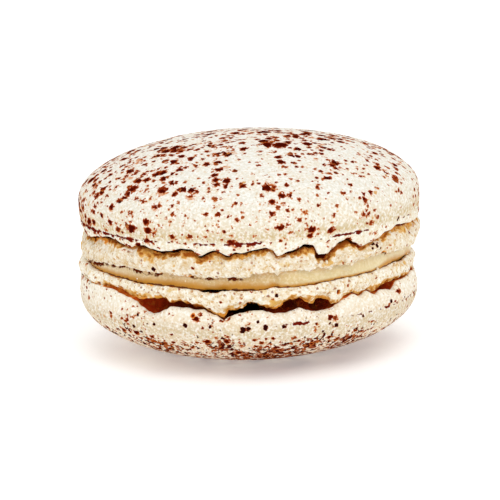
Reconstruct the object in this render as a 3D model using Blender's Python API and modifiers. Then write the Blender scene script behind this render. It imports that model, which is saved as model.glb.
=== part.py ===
"""French macaron: two cocoa-speckled almond meringue shells sandwiched on a pale cream filling.

Metres, +Z up. The origin is the middle of the macaron at the level of the small flat spot that
the lower shell rests on. The front, where the deepest cracks are, faces -Y.

Each shell is one closed solid: a smooth dome whose skin ends in a tucked-in rim, a ragged crevice
below the rim, and the craggy baked foot between the crevice and the filling. Levels in a shell
are measured from its flat face on the filling towards the tip of its dome, so the lower shell is
described the same way as the upper one and then turned over.
"""

import math
import random
from dataclasses import dataclass

import bpy
from mathutils import Vector, noise

MM = 0.001

# Sandwich: the two flat faces and the cream between them
LOWER_FACE_Z = 11.75 * MM
UPPER_FACE_Z = 14.3 * MM
UPPER_TILT = math.radians(1.0)
SIDE_SHIFT = 0.15 * MM
FILLING_GAP = 0.3 * MM
FILLING_RADIUS = 20.6 * MM
FILLING_WAVE = 0.1 * MM
FILLING_WAVE_SIZE = 6 * MM
FILLING_BULGE = 0.15 * MM

# Domes and feet
UPPER_RADIUS = 22.5 * MM
LOWER_RADIUS = 22.3 * MM
FLAT_SPOT_CUT = 0.6 * MM
DOME_UNEVEN = 0.12 * MM
DOME_UNEVEN_SIZE = 7 * MM
OUT_OF_ROUND = 0.16 * MM
OUT_OF_ROUND_SIZE = 16 * MM
FOOT_SWELL = 0.25 * MM
FOOT_LUMPS = 0.6 * MM
LUMP_SIZE = 2.3 * MM
FOOT_TOP_INSET = 0.5 * MM
LIP_INSET = 0.25 * MM
LIP_INNER_RADIUS = 21.05 * MM
LEAST_LIP = 0.12 * MM
FACE_RADIUS = 21.0 * MM
LIP_RAGGED = 0.15 * MM
LIP_RAGGED_SIZE = 1.8 * MM

# Crevice between the skin's rim and the foot
LEAST_OPENING = 0.22 * MM
EDGE_RAGGED = 0.12 * MM
FLOOR_RAGGED_SIZE = 1.7 * MM
ROOF_RAGGED_SIZE = 2.1 * MM
CREVICE_BACK = 0.25 * MM
UNDERCUT = 0.15
MOUTH_SHARE = 0.06
BACK_SHARE = 0.35

# Resolution
STEPS = 108
DOME_ROWS = 10
RIM_ROWS = 4
FOOT_ROWS = 5
FILLING_ROWS = 3

# The crevice as it runs round the front: degrees from the front towards +X, then the level of its
# foot side, the level of its rim side and its depth, in millimetres. Deep, open stretches are the
# pits, and shallow, narrow ones are where the foot nearly joins the skin.
UPPER_CREVICE = [
    (-88, 2.9, 3.2, 0.7),
    (-80, 2.0, 3.0, 1.6),
    (-73, 2.2, 2.6, 0.7),
    (-63, 2.9, 3.2, 0.8),
    (-56, 3.1, 3.7, 1.5),
    (-50, 2.9, 3.3, 1.0),
    (-45, 2.6, 2.8, 0.3),
    (-38, 2.9, 3.4, 1.5),
    (-31, 2.4, 2.8, 1.4),
    (-23, 3.0, 3.4, 1.2),
    (-17, 2.1, 2.5, 1.3),
    (-12, 2.8, 3.2, 1.0),
    (-6, 2.2, 2.6, 1.1),
    (0, 2.8, 3.1, 0.9),
    (5, 3.1, 3.4, 0.9),
    (10, 2.0, 2.3, 0.7),
    (15, 2.4, 2.9, 1.2),
    (19, 2.9, 3.5, 1.7),
    (24, 1.1, 1.9, 1.3),
    (27, 1.2, 2.1, 1.3),
    (33, 2.9, 3.3, 1.2),
    (40, 1.6, 2.0, 1.0),
    (47, 2.2, 2.5, 0.4),
    (53, 2.7, 3.1, 1.1),
    (60, 3.1, 3.5, 0.9),
    (71, 2.6, 2.9, 0.6),
    (80, 2.4, 2.8, 0.5),
]
LOWER_CREVICE = [
    (-88, 0.9, 1.1, 0.2),
    (-62, 0.7, 1.0, 0.3),
    (-53, 0.5, 1.0, 0.8),
    (-46, 1.2, 1.6, 0.6),
    (-40, 1.5, 2.5, 1.6),
    (-35, 1.2, 3.2, 2.9),
    (-30, 1.1, 2.5, 2.4),
    (-24, 1.2, 2.0, 1.6),
    (-19, 1.7, 2.2, 0.9),
    (-13, 2.5, 2.7, 0.8),
    (-9, 3.1, 3.4, 0.9),
    (-6, 2.2, 2.8, 2.8),
    (-3, 2.0, 2.5, 3.1),
    (1, 1.3, 2.2, 3.3),
    (5, 1.8, 2.3, 1.8),
    (9, 2.2, 2.7, 1.4),
    (13, 1.2, 2.6, 2.8),
    (17, 0.9, 2.2, 3.0),
    (23, 1.2, 2.9, 3.1),
    (28, 1.6, 2.8, 3.0),
    (31, 2.1, 2.4, 0.7),
    (38, 1.0, 1.4, 0.9),
    (41, 1.6, 1.9, 0.6),
    (45, 1.2, 1.4, 0.5),
    (49, 1.7, 2.2, 0.7),
    (57, 1.2, 2.2, 1.9),
    (64, 1.1, 1.4, 0.7),
    (78, 1.0, 1.3, 0.4),
]

# The foot's lip along the edge of the filling: degrees, how far it hangs past the face and how
# far it swells out, in millimetres. On the left the two lips nearly close over the cream.
UPPER_LIP = [
    (-118, 0.3, 0),
    (-92, 0.8, 0.45),
    (-76, 0.35, 0.1),
    (-60, 0, 0),
    (-11, 0.3, 0),
    (-2, 0.4, 0),
    (3, -0.1, 0),
    (9, 0.3, 0),
    (15, 0, 0),
    (45, -0.1, 0),
    (74, 0.3, 0),
    (105, 0.35, 0),
]
LOWER_LIP = [
    (-120, 0.3, 0),
    (-93, 0.85, 0),
    (-76, 0.6, 0),
    (-48, 0.55, 0),
    (-30, 0.45, 0),
    (-20, 0.35, 0),
    (-13, 0, 0),
    (-5, 0.35, 0),
    (10, 0.5, 0),
    (33, 0.75, 0),
    (62, 1.0, 0),
    (74, 0.9, 0),
    (95, 0.5, 0.05),
]

# How far the foot is joined to the skin, in degrees and share, as at the two sides. There the rim's
# tuck and the foot's inset below it lose up to this share of their size.
UPPER_JOIN = [(-115, 0), (-92, 0.3), (-78, 0.3), (-62, 0), (62, 0), (76, 0.6), (92, 0.7), (120, 0)]
LOWER_JOIN = [(-125, 0), (-95, 1), (-66, 1), (-54, 0.5), (-44, 0), (60, 0), (72, 0.6), (92, 0.6), (120, 0)]
JOIN_FLATTENS = 0.8


@dataclass
class Shell:
    """One half of the macaron. Lengths are in metres, and levels are measured from its face."""

    name: str
    up: int
    face_z: float
    shift: float
    tilt: float
    radius: float
    rim_tuck: float
    foot_radius: float
    widest: float
    dome: float
    flat_cut: float
    crevice: list
    lip: list
    join: list
    seed: int


def wave(position, size, seed):
    """Smooth noise between about -1 and 1, whose bumps are about `size` across."""
    return noise.noise(Vector(position) / size + Vector((seed, 2.7 * seed, -1.3 * seed)))


def eased(share):
    """Runs smoothly from 0 to 1 as share does."""
    share = min(max(share, 0), 1)
    return share * share * (3 - 2 * share)


def around(angle, radius):
    """The point on a circle at an angle counted from the front, -Y, towards +X."""
    return Vector((radius * math.sin(angle), -radius * math.cos(angle), 0))


def between(knots, degrees):
    """The values at an angle, eased from knot to knot round the circle. A knot is (degrees, values...)."""
    ring = [*knots, (knots[0][0] + 360, *knots[0][1:])]
    degrees = knots[0][0] + (degrees - knots[0][0]) % 360
    for before, after in zip(ring, ring[1:]):
        if degrees <= after[0]:
            share = eased((degrees - before[0]) / (after[0] - before[0]))
            return [a + (b - a) * share for a, b in zip(before[1:], after[1:])]
    return list(knots[0][1:])


def with_back(front, floor, roof, seed):
    """The front knots of a crevice, then pits and narrow stretches in turn round the back."""
    draw = random.Random(seed)
    knots = list(front)
    degrees = front[-1][0] + draw.uniform(7, 11)
    is_pit = True
    while degrees < front[0][0] + 353:
        level = draw.uniform(-0.4, 0.4)
        spread = draw.uniform(0.1, 0.5) if is_pit else 0
        depth = draw.uniform(1.1, 2.4) if is_pit else draw.uniform(0.4, 0.9)
        knots.append((degrees, floor + level - spread, roof + level + spread, depth))
        degrees += draw.uniform(4, 9)
        is_pit = not is_pit
    return knots


def crevice_at(shell, angle):
    """Level of the foot side, level of the rim side, and depth of the crevice at an angle."""
    floor, roof, depth = (v * MM for v in between(shell.crevice, math.degrees(angle)))
    edge = around(angle, shell.radius)
    floor += EDGE_RAGGED * wave(edge, FLOOR_RAGGED_SIZE, shell.seed + 11)
    roof += EDGE_RAGGED * wave(edge, ROOF_RAGGED_SIZE, shell.seed + 23)
    return floor, max(roof, floor + LEAST_OPENING), depth


def dome_rows(shell, radius, angle):
    """From the tip of the dome down to its widest level. The tip is flat where the dome is cut."""
    tip = shell.dome - shell.flat_cut
    steepest = math.asin(tip / shell.dome)
    rows = [(0, shell.widest + tip)]
    is_flat = shell.flat_cut > 0
    for i in range(DOME_ROWS):
        slope = steepest * (1 - i / DOME_ROWS)
        r = radius * math.cos(slope)
        z = shell.widest + shell.dome * math.sin(slope)
        if i > 0:
            z += DOME_UNEVEN * wave(around(angle, r), DOME_UNEVEN_SIZE, shell.seed)
        if i > 0 or is_flat:
            rows.append((r, z))
    return rows


def rim_rows(shell, radius, roof, tuck):
    """From the widest level down to the rim, where the skin tucks under."""
    rows = []
    for i in range(RIM_ROWS + 1):
        turn = math.radians(90) * i / RIM_ROWS
        r = radius - tuck * (1 - math.cos(turn))
        rows.append((r, shell.widest + (roof - shell.widest) * math.sin(turn)))
    return rows


def crevice_rows(rim_radius, foot_radius, floor, roof, depth, inset):
    """In behind the rim, which overhangs a little, to the crevice's back, and out over the foot."""
    inner = foot_radius - depth
    middle = (floor + roof) / 2
    opening = roof - floor
    mouth = foot_radius - inset
    return [
        ((inner + rim_radius) / 2, roof + UNDERCUT * opening),
        (inner, middle + BACK_SHARE * opening),
        (inner - CREVICE_BACK, middle),
        (inner, middle - BACK_SHARE * opening),
        ((inner + mouth) / 2, floor + MOUTH_SHARE * opening),
    ]


def foot_rows(shell, foot_radius, floor, lip, swell, top_inset, angle):
    """The swollen, lumpy outside of the foot, from the crevice down to the lip."""
    rows = []
    for i in range(FOOT_ROWS + 1):
        share = i / FOOT_ROWS
        z = floor + (lip - floor) * share
        inset = top_inset * (1 - share) ** 3 + LIP_INSET * share**3
        place = around(angle, foot_radius) + Vector((0, 0, z))
        lumps = FOOT_LUMPS * wave(place, LUMP_SIZE, shell.seed + 5)
        bulge = FOOT_SWELL * math.sin(math.pi * share) + swell * share
        r = foot_radius - inset + bulge + lumps
        rows.append((max(r, LIP_INNER_RADIUS + LEAST_LIP), z))
    return rows


def section(shell, angle):
    """The outline of a shell at one angle, as (radius, level), from the dome's tip to the face's middle."""
    floor, roof, depth = crevice_at(shell, angle)
    drop, swell = (v * MM for v in between(shell.lip, math.degrees(angle)))
    edge = around(angle, shell.radius)
    lip = LIP_RAGGED * wave(edge, LIP_RAGGED_SIZE, shell.seed + 31) - drop
    drift = OUT_OF_ROUND * wave(edge, OUT_OF_ROUND_SIZE, shell.seed + 3)
    (join,) = between(shell.join, math.degrees(angle))
    free = 1 - JOIN_FLATTENS * join
    tuck = shell.rim_tuck * free
    top_inset = FOOT_TOP_INSET * free
    radius = shell.radius + drift
    rim_radius = radius - tuck
    foot_radius = shell.foot_radius + drift
    foot_radius += (rim_radius - foot_radius) * join
    return [
        *dome_rows(shell, radius, angle),
        *rim_rows(shell, radius, roof, tuck),
        *crevice_rows(rim_radius, foot_radius, floor, roof, depth, top_inset),
        *foot_rows(shell, foot_radius, floor, lip, swell, top_inset, angle),
        (LIP_INNER_RADIUS, lip),
        (FACE_RADIUS, 0),
        (0, 0),
    ]


def turned(name, profile):
    """A mesh turned round +Z from (radius, level) points. Each vertex keeps its point's number as `row`."""
    mesh = bpy.data.meshes.new(name)
    edges = [(i, i + 1) for i in range(len(profile) - 1)]
    mesh.from_pydata([(r, 0, z) for r, z in profile], edges, [])
    mesh.attributes.new("row", "INT", "POINT").data.foreach_set("value", list(range(len(profile))))
    lathe = bpy.data.objects.new(name + "_lathe", mesh)
    bpy.context.scene.collection.objects.link(lathe)
    screw = lathe.modifiers.new("Turn", "SCREW")
    screw.axis = "Z"
    screw.steps = screw.render_steps = STEPS
    screw.use_merge_vertices = True
    screw.merge_threshold = 0.001 * MM
    made = bpy.data.meshes.new_from_object(lathe.evaluated_get(bpy.context.evaluated_depsgraph_get()))
    bpy.data.objects.remove(lathe)
    bpy.data.meshes.remove(mesh)
    made.name = name
    return made


def place_rows(mesh, section_at, up=1):
    """Moves each vertex of a turned mesh to its row's point in the section at its own angle."""
    sections = {}
    rows = [0] * len(mesh.vertices)
    mesh.attributes["row"].data.foreach_get("value", rows)
    for vertex, row in zip(mesh.vertices, rows):
        angle = math.atan2(vertex.co.x, -vertex.co.y)
        step = round(angle * STEPS / math.tau)
        if step not in sections:
            sections[step] = section_at(angle)
        r, z = sections[step][row]
        vertex.co = around(angle, r) + Vector((0, 0, up * z))
    if up < 0:
        mesh.flip_normals()


def material(name, colour, roughness):
    """A plain non-metal finish."""
    made = bpy.data.materials.new(name)
    made.use_nodes = True
    shader = made.node_tree.nodes["Principled BSDF"]
    shader.inputs["Base Color"].default_value = (*colour, 1)
    shader.inputs["Roughness"].default_value = roughness
    shader.inputs["Metallic"].default_value = 0
    return made


def add_piece(name, mesh, finish, collection):
    """The named object for one piece, smooth but for its sharp edges."""
    mesh.materials.clear()
    mesh.materials.append(finish)
    mesh.shade_smooth()
    mesh.set_sharp_from_angle(angle=math.radians(50))
    piece = bpy.data.objects.new(name, mesh)
    collection.objects.link(piece)
    return piece


def make_shell(shell, finish, collection):
    """One meringue shell, turned from its sections and set in place."""
    mesh = turned(shell.name, section(shell, 0.5))
    place_rows(mesh, lambda angle: section(shell, angle), shell.up)
    piece = add_piece(shell.name, mesh, finish, collection)
    piece.location = (shell.shift, 0, shell.face_z)
    piece.rotation_euler = (0, -shell.tilt, 0)
    return piece


def filling_section(angle):
    """The cream's outline at one angle: a thin slab with a soft, slightly bulging edge."""
    edge = around(angle, FILLING_RADIUS)
    radius = FILLING_RADIUS + FILLING_WAVE * wave(edge, FILLING_WAVE_SIZE, 41)
    low = LOWER_FACE_Z + FILLING_GAP
    high = UPPER_FACE_Z - FILLING_GAP + radius * math.sin(angle) * math.tan(UPPER_TILT)
    rows = [(0, UPPER_FACE_Z - FILLING_GAP)]
    for i in range(FILLING_ROWS + 1):
        share = i / FILLING_ROWS
        rows.append((radius + FILLING_BULGE * math.sin(math.pi * share), high + (low - high) * share))
    return [*rows, (0, low)]


def make_filling(finish, collection):
    """The cream layer, which runs right through between the two shells."""
    mesh = turned("filling", filling_section(0.5))
    place_rows(mesh, filling_section)
    return add_piece("filling", mesh, finish, collection)


def clear_scene():
    for old in list(bpy.data.objects):
        bpy.data.objects.remove(old)


def main():
    clear_scene()
    macaron = bpy.data.collections.new("macaron")
    bpy.context.scene.collection.children.link(macaron)
    shell_finish = material("shell", (0.84, 0.73, 0.57), 0.75)
    cream_finish = material("cream", (0.66, 0.47, 0.23), 0.4)
    upper = Shell(
        name="upper_shell",
        up=1,
        face_z=UPPER_FACE_Z,
        shift=SIDE_SHIFT,
        tilt=UPPER_TILT,
        radius=UPPER_RADIUS,
        rim_tuck=0.6 * MM,
        foot_radius=21.8 * MM,
        widest=6.3 * MM,
        dome=7.6 * MM,
        flat_cut=0,
        crevice=with_back(UPPER_CREVICE, 3.1, 3.5, 7),
        lip=UPPER_LIP,
        join=UPPER_JOIN,
        seed=3,
    )
    lower = Shell(
        name="lower_shell",
        up=-1,
        face_z=LOWER_FACE_Z,
        shift=-SIDE_SHIFT,
        tilt=0,
        radius=LOWER_RADIUS,
        rim_tuck=1.0 * MM,
        foot_radius=21.6 * MM,
        widest=3.95 * MM,
        dome=8.4 * MM,
        flat_cut=FLAT_SPOT_CUT,
        crevice=with_back(LOWER_CREVICE, 1.5, 1.9, 19),
        lip=LOWER_LIP,
        join=LOWER_JOIN,
        seed=8,
    )
    make_shell(lower, shell_finish, macaron)
    make_filling(cream_finish, macaron)
    make_shell(upper, shell_finish, macaron)


main()
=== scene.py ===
"""The looks of a french macaron: cocoa-speckled meringue shells with craggy feet, and pale cream.

Metres, +Z up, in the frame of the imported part. Each shell is turned from the same named sizes as its
solid, many times finer, and gets crumbs, lumps and an incised line that the solid leaves out. Levels
in a shell are measured from its flat face on the cream towards the tip of its dome. Angles are
counted from the front, -Y, towards +X. Tables and vertex attributes are in degrees and millimetres.
"""

import math
import random
from dataclasses import dataclass
from typing import NamedTuple

import bmesh
import bpy
import numpy as np
from mathutils import Matrix, Vector, noise


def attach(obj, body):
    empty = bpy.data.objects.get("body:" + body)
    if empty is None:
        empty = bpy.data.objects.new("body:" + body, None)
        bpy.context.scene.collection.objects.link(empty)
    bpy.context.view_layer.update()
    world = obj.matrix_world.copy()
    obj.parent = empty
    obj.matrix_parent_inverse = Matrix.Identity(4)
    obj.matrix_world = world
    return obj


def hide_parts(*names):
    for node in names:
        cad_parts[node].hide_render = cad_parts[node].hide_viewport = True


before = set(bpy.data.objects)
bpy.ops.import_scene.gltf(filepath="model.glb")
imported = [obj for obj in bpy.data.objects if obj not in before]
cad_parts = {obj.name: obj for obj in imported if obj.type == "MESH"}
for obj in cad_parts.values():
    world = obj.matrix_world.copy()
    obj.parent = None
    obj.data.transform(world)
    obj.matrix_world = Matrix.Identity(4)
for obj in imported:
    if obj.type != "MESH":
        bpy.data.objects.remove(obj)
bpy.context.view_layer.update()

MM = 0.001

# Sandwich
LOWER_FACE_Z = 11.75 * MM
UPPER_FACE_Z = 14.3 * MM
UPPER_TILT = math.radians(1.0)
SIDE_SHIFT = 0.15 * MM

# Domes and feet
DOME_UNEVEN = 0.12 * MM
DOME_UNEVEN_SIZE = 7 * MM
UNEVEN_FADE = 8
OUT_OF_ROUND = 0.16 * MM
OUT_OF_ROUND_SIZE = 16 * MM
FOOT_SWELL = 0.25 * MM
FOOT_LUMPS = 0.6 * MM
LUMP_SIZE = 2.3 * MM
FOOT_TOP_INSET = 0.5 * MM
LIP_INSET = 0.25 * MM
LIP_INNER_RADIUS = 21.05 * MM
LEAST_LIP = 0.12 * MM
FACE_RADIUS = 21.0 * MM
LIP_RAGGED = 0.1 * MM
LIP_RAGGED_SIZE = 0.9 * MM

# Crevice between the skin's rim and the foot
LEAST_OPENING = 0.2 * MM
EDGE_RAGGED = 0.07 * MM
EDGE_RAGGED_SIZE = 0.9 * MM
CREVICE_BACK = 0.25 * MM
UNDERCUT = 0.15
MOUTH_SHARE = 0.06
BACK_SHARE = 0.35

# Guessed crevices round the back: the gaps between knots in degrees, and the rest in millimetres
FIRST_GAP = (7, 11)
GAP = (4, 9)
LAST_GAP = 7
PIT_LEVEL = (-0.4, 0.4)
PIT_SPREAD = (0.1, 0.5)
PIT_DEPTH = (1.1, 2.4)
PIT_TOAST_AND_SHADE = (0.4, 1.0)
NARROW_DEPTH = (0.4, 0.9)
NARROW_TOAST_AND_SHADE = 0.3

# Relief: how high, and how wide its bumps are
SKIN_WAVES = (0.03 * MM, 3 * MM)
SKIN_GRAIN = (0.012 * MM, 0.7 * MM)
FOOT_BILLOWS = (0.2 * MM, 1.7 * MM)
FOOT_CRUMBS = (0.07 * MM, 0.6 * MM)
FOOT_GRIT = (0.05 * MM, 0.3 * MM)
BILLOW_GAIN = 2.2
BILLOW_MEAN = 0.4
JOIN_SMOOTHS = 0.6
RIM_LINE_DEPTH = 0.1 * MM
RIM_LINE_WIDTH = 0.14 * MM
RIM_BEAD = 0.06 * MM
RIM_BEAD_WIDTH = 0.3 * MM
RIM_BEAD_BELOW_LINE = 0.5 * MM

# Levels of the incised line above each rim, in millimetres
UPPER_RIM_LINE = 4.05
LOWER_RIM_LINE = 4.0

# Resolution
STEPS = 800
DOME_ROWS = 46
RIM_ROWS = 20
CREVICE_ROWS = 16
FOOT_ROWS = 26
TIP_FADE_ROWS = 6
FOOT_FADE_ROWS = 3

# What each noise adds to the shell's seed
DRIFT_NOISE = 3
LUMP_NOISE = 5
FLOOR_NOISE = 11
ROOF_NOISE = 23
LIP_NOISE = 31
WAVE_NOISE = 41
GRAIN_NOISE = 43
BILLOW_NOISE = 47
CRUMB_NOISE = 53
GRIT_NOISE = 59

# Browning, painted shade and painted black shadow in the crevices, and painted shade in creases and holes:
# the depths and reaches over which they change, and shares
DARK_DEPTH = 1.3 * MM
LEAST_DARK = 0.1
RIM_SHADE = 0.3 * MM
HOLLOW_FROM = 0.32 * MM
HOLLOW_OVER = 0.6 * MM
TOAST_AND_SHADE_DEPTH = 0.6 * MM
TOAST_AND_SHADE_REACH = 1.4
LEAST_REACH = 0.1 * MM
TOAST_AND_SHADE_EDGE = 1.05
TOAST_WITHOUT_BLACK_SHADE = 0.4
BLACK_SHADE_TOASTS = 1.6
GOLD_ON_SKIN = 0.6
SPOT_EDGE = 1.5
HOLE_EDGE = 1.35
HOLE_SHADE = 1.05
CREASE_SHADE_HEIGHT = 1 / 3
LUMP_CREASE_SHADE = 0.6
CRUMB_CREASE_SHADE = 0.5

# Cocoa dust on the domes: amounts, and how they change with the place
DUST_RADIUS = 22 * MM
UPPER_DUST = 0.875
DUST_TO_RIGHT = 0.15
DUST_TO_FRONT = 0.36
DUST_MIDDLE = 0.15
DUST_WHEN_LOW = 0.04
LOW_LEVELS = (9 * MM, 5 * MM)
DUST_WHEN_HIGH = 0.12
HIGH_LEVELS = (8 * MM, 13 * MM)
UPPER_DUST_RANGE = (0.05, 0.95)
LOWER_DUST = 0.12
LOWER_DUST_BELOW = 0.66
LOWER_DUST_LEVELS = (4.3 * MM, 7.5 * MM)
LOWER_DUST_LEAN = 0.15
LOWER_DUST_LEANS_TO = math.radians(10)
LOWER_DUST_RANGE = (0.05, 1)

# The crevices round the front: degrees, level of the foot side, level of the rim side, depth, and
# how far the browning and painted shade reach over the foot, in millimetres.
UPPER_CREVICE = [
    (-88, 2.9, 3.2, 0.7, 0.5),
    (-80, 2.0, 3.0, 1.6, 0.4),
    (-73, 2.2, 2.6, 0.7, 0.3),
    (-63, 2.9, 3.2, 0.8, 0.3),
    (-56, 3.2, 3.7, 1.5, 0.6),
    (-52, 2.9, 3.5, 1.3, 0.5),
    (-48, 2.8, 3.1, 0.8, 0.3),
    (-45, 2.6, 2.8, 0.3, 0.1),
    (-41, 2.9, 3.2, 1.0, 0.6),
    (-38, 2.9, 3.4, 1.5, 1.1),
    (-35, 2.6, 3.1, 1.6, 1.3),
    (-31, 2.4, 2.8, 1.4, 0.7),
    (-28, 2.5, 2.9, 1.3, 0.4),
    (-23, 3.0, 3.4, 1.2, 0.8),
    (-20, 2.9, 3.3, 1.1, 0.8),
    (-17, 2.1, 2.5, 1.3, 0.6),
    (-12, 2.8, 3.2, 1.0, 0.8),
    (-7, 2.1, 2.5, 1.1, 0.4),
    (-5, 2.5, 2.9, 1.2, 0.5),
    (-3, 2.4, 2.8, 1.2, 0.5),
    (0, 2.8, 3.1, 0.9, 0.5),
    (5, 3.1, 3.4, 0.9, 0.6),
    (7, 2.9, 3.1, 0.4, 0.3),
    (9, 2.0, 2.2, 0.7, 0.2),
    (13, 2.3, 2.7, 1.1, 0.5),
    (16, 2.5, 3.0, 1.2, 0.6),
    (18, 2.9, 3.5, 1.7, 0.9),
    (21, 2.8, 3.2, 1.3, 0.6),
    (23, 1.2, 1.9, 1.2, 0.7),
    (26, 0.9, 1.8, 1.4, 0.5),
    (28, 1.9, 2.4, 1.1, 0.5),
    (31, 2.7, 3.1, 1.2, 0.6),
    (34, 3.0, 3.4, 1.2, 0.8),
    (37, 2.3, 2.7, 1.1, 0.7),
    (40, 1.6, 2.0, 1.0, 0.5),
    (44, 1.9, 2.2, 0.4, 0.2),
    (48, 2.3, 2.5, 0.4, 0.2),
    (52, 2.6, 3.0, 1.1, 0.8),
    (55, 2.7, 3.1, 1.0, 0.6),
    (59, 3.1, 3.5, 0.9, 0.8),
    (64, 2.8, 3.2, 0.9, 1.1),
    (71, 2.6, 2.9, 0.6, 0.7),
    (80, 2.4, 2.8, 0.8, 0.5),
]
LOWER_CREVICE = [
    (-88, 0.9, 1.1, 0.15, 0.2),
    (-75, 0.9, 1.1, 0.15, 0.3),
    (-62, 0.7, 1.0, 0.3, 0.2),
    (-54, 0.4, 0.9, 0.6, 0.3),
    (-50, 0.8, 1.3, 0.7, 0.2),
    (-46, 1.2, 1.6, 0.4, 0.1),
    (-43, 1.4, 1.9, 0.8, 0.9),
    (-40, 1.5, 2.5, 1.6, 0.8),
    (-37, 1.4, 3.0, 2.4, 0.6),
    (-35, 1.2, 3.2, 2.9, 0.3),
    (-33, 1.1, 3.0, 2.9, 0.3),
    (-30, 1.1, 2.5, 2.4, 0.3),
    (-28, 1.4, 2.0, 1.9, 0.3),
    (-24, 1.2, 2.0, 1.6, 0.3),
    (-21, 1.4, 2.0, 1.3, 0.3),
    (-19, 1.7, 2.2, 0.9, 0.5),
    (-16, 1.9, 2.1, 0.9, 0.3),
    (-14, 2.3, 2.5, 0.8, 0.2),
    (-12, 2.6, 2.8, 0.8, 0.2),
    (-9, 3.1, 3.4, 0.9, 0.5),
    (-7, 2.2, 3.0, 2.6, 0.6),
    (-5, 2.2, 2.7, 3.0, 0),
    (-3, 2.0, 2.5, 3.1, 0),
    (0, 1.3, 2.3, 3.3, 0),
    (2, 1.3, 2.2, 3.2, 0),
    (4, 1.6, 2.2, 2.2, 0.1),
    (6, 1.9, 2.4, 1.3, 0.4),
    (8.5, 2.2, 2.7, 1.4, 0.4),
    (10.5, 1.9, 2.7, 1.9, 0.4),
    (12, 1.4, 2.7, 2.5, 0.5),
    (14, 1.0, 2.5, 2.9, 0.6),
    (17, 0.9, 2.2, 3.0, 0.3),
    (20, 1.6, 2.6, 2.0, 0.9),
    (21.7, 1.8, 2.8, 1.6, 1.0),
    (23.5, 1.3, 2.9, 2.8, 0.6),
    (28, 1.6, 2.8, 3.0, 0.4),
    (29.5, 2.2, 2.7, 1.6, 0.5),
    (31, 2.1, 2.4, 0.7, 0.4),
    (35, 1.5, 1.8, 0.7, 0.3),
    (38, 1.0, 1.4, 0.9, 0.5),
    (41, 1.6, 1.9, 0.6, 0.3),
    (44, 1.2, 1.4, 0.5, 0.2),
    (49, 1.7, 2.2, 0.7, 1.0),
    (52, 1.4, 1.8, 1.0, 0.4),
    (55, 1.1, 2.0, 1.9, 0.5),
    (59, 1.3, 2.3, 1.8, 0.6),
    (63, 1.2, 1.5, 0.8, 0.4),
    (78, 1.0, 1.3, 0.5, 0.2),
]

# The foot's lip along the cream: degrees, how far it hangs past the face, and how far it swells out.
UPPER_LIP = [
    (-118, 0.4, 0),
    (-95, 1.1, 0.45),
    (-78, 1.05, 0.2),
    (-70, 0.55, 0),
    (-60, 0.05, 0),
    (-46, 0, 0),
    (-36, 0.2, 0),
    (-11, 0.3, 0),
    (-4, 0.45, 0),
    (-0.7, 0.35, 0),
    (0.7, -0.1, 0),
    (7.6, -0.1, 0),
    (8.7, 0.4, 0),
    (9.8, 0, 0),
    (12, -0.2, 0),
    (15, 0.05, 0),
    (20, 0.1, 0),
    (23, -0.15, 0),
    (28, 0.05, 0),
    (36, 0.1, 0),
    (45, -0.15, 0),
    (52, -0.1, 0),
    (65, 0.1, 0),
    (74, 0.3, 0),
    (105, 0.35, 0),
]
LOWER_LIP = [
    (-120, 0.4, 0),
    (-93, 1.05, 0),
    (-78, 1, 0),
    (-70, 0.75, 0),
    (-60, 0.65, 0),
    (-48, 0.55, 0),
    (-42, 0.4, 0),
    (-30, 0.5, 0),
    (-22, 0.35, 0),
    (-18, 0.3, 0),
    (-16, 0, 0),
    (-12, -0.05, 0),
    (-9, 0.25, 0),
    (-5, 0.35, 0),
    (5, 0.35, 0),
    (8, 0.65, 0),
    (12, 0.45, 0),
    (22, 0.5, 0),
    (33, 0.75, 0),
    (45, 0.8, 0),
    (54, 0.95, 0),
    (62, 1.0, 0),
    (68, 0.8, 0),
    (74, 0.9, 0),
    (95, 0.5, 0.05),
]

# How far the foot is joined to the skin, in degrees and share, as at the two sides. There the rim's
# tuck and the foot's inset below it lose up to this share of their size.
UPPER_JOIN = [
    (-115, 0), (-92, 0.3), (-78, 0.3), (-62, 0), (62, 0), (76, 0.6), (92, 0.7), (120, 0),
]
LOWER_JOIN = [
    (-125, 0), (-95, 1), (-66, 1), (-54, 0.5), (-44, 0), (60, 0), (72, 0.6), (92, 0.6),
    (120, 0),
]
JOIN_FLATTENS = 0.8

# How far the crevice is painted black shadow, rather than caramel: degrees and share
UPPER_BLACK_SHADE = [
    (-90, 0.9), (-80, 0.9), (-62, 0.7), (-45, 0.3), (-36, 0.7), (-20, 0.8), (0, 0.7), (9, 0.5),
    (18, 0.9), (24, 0.5), (34, 0.8), (44, 0.3), (54, 0.6), (62, 0.15), (90, 0.1), (110, 0.5),
]
LOWER_BLACK_SHADE = [
    (-90, 0.1), (-60, 0.2), (-42, 0.2), (-37, 0.15), (-33, 0.5), (-29, 0.5), (-18, 0.7),
    (-8, 0.8), (-5, 1), (3, 1), (6, 0.6), (10, 0.4), (15, 0.65), (22, 0.45), (25, 0.65),
    (29, 0.4), (40, 0.1), (55, 0.4), (62, 0.15), (80, 0.1), (110, 0.5),
]

# How much of the incised line is filled with cocoa: degrees and share
UPPER_DASHES = [
    (-110, 0.7), (-90, 1), (-62, 0.95), (-50, 0.8), (-38, 0.8), (-30, 0.4), (-20, 0.25),
    (-11, 0.45), (-5, 0.85), (3, 0.7), (6, 0.15), (24, 0.15), (30, 0.7), (38, 0.8), (44, 0.15),
    (60, 0.3), (85, 0.3),
]
LOWER_DASHES = [
    (-100, 0.3), (-60, 0.1), (-25, 0.1), (-5, 0.1), (10, 0.3), (17, 0.75), (23, 0.3),
    (40, 0.45), (60, 0.3), (90, 0.3),
]

# Small holes in a shell: degrees, level, radius and depth, in millimetres
UPPER_HOLES = [
    (19.2, 3.1, 0.2, 0.4), (84, 1.9, 0.25, 0.3),
]
LOWER_HOLES = [
    (31.5, 0.75, 0.3, 0.7), (-50.5, 0.55, 0.25, 0.3), (-86, 0, 0.35, 0.5),
    (-19.2, 2.8, 0.3, 0.2),
]
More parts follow.
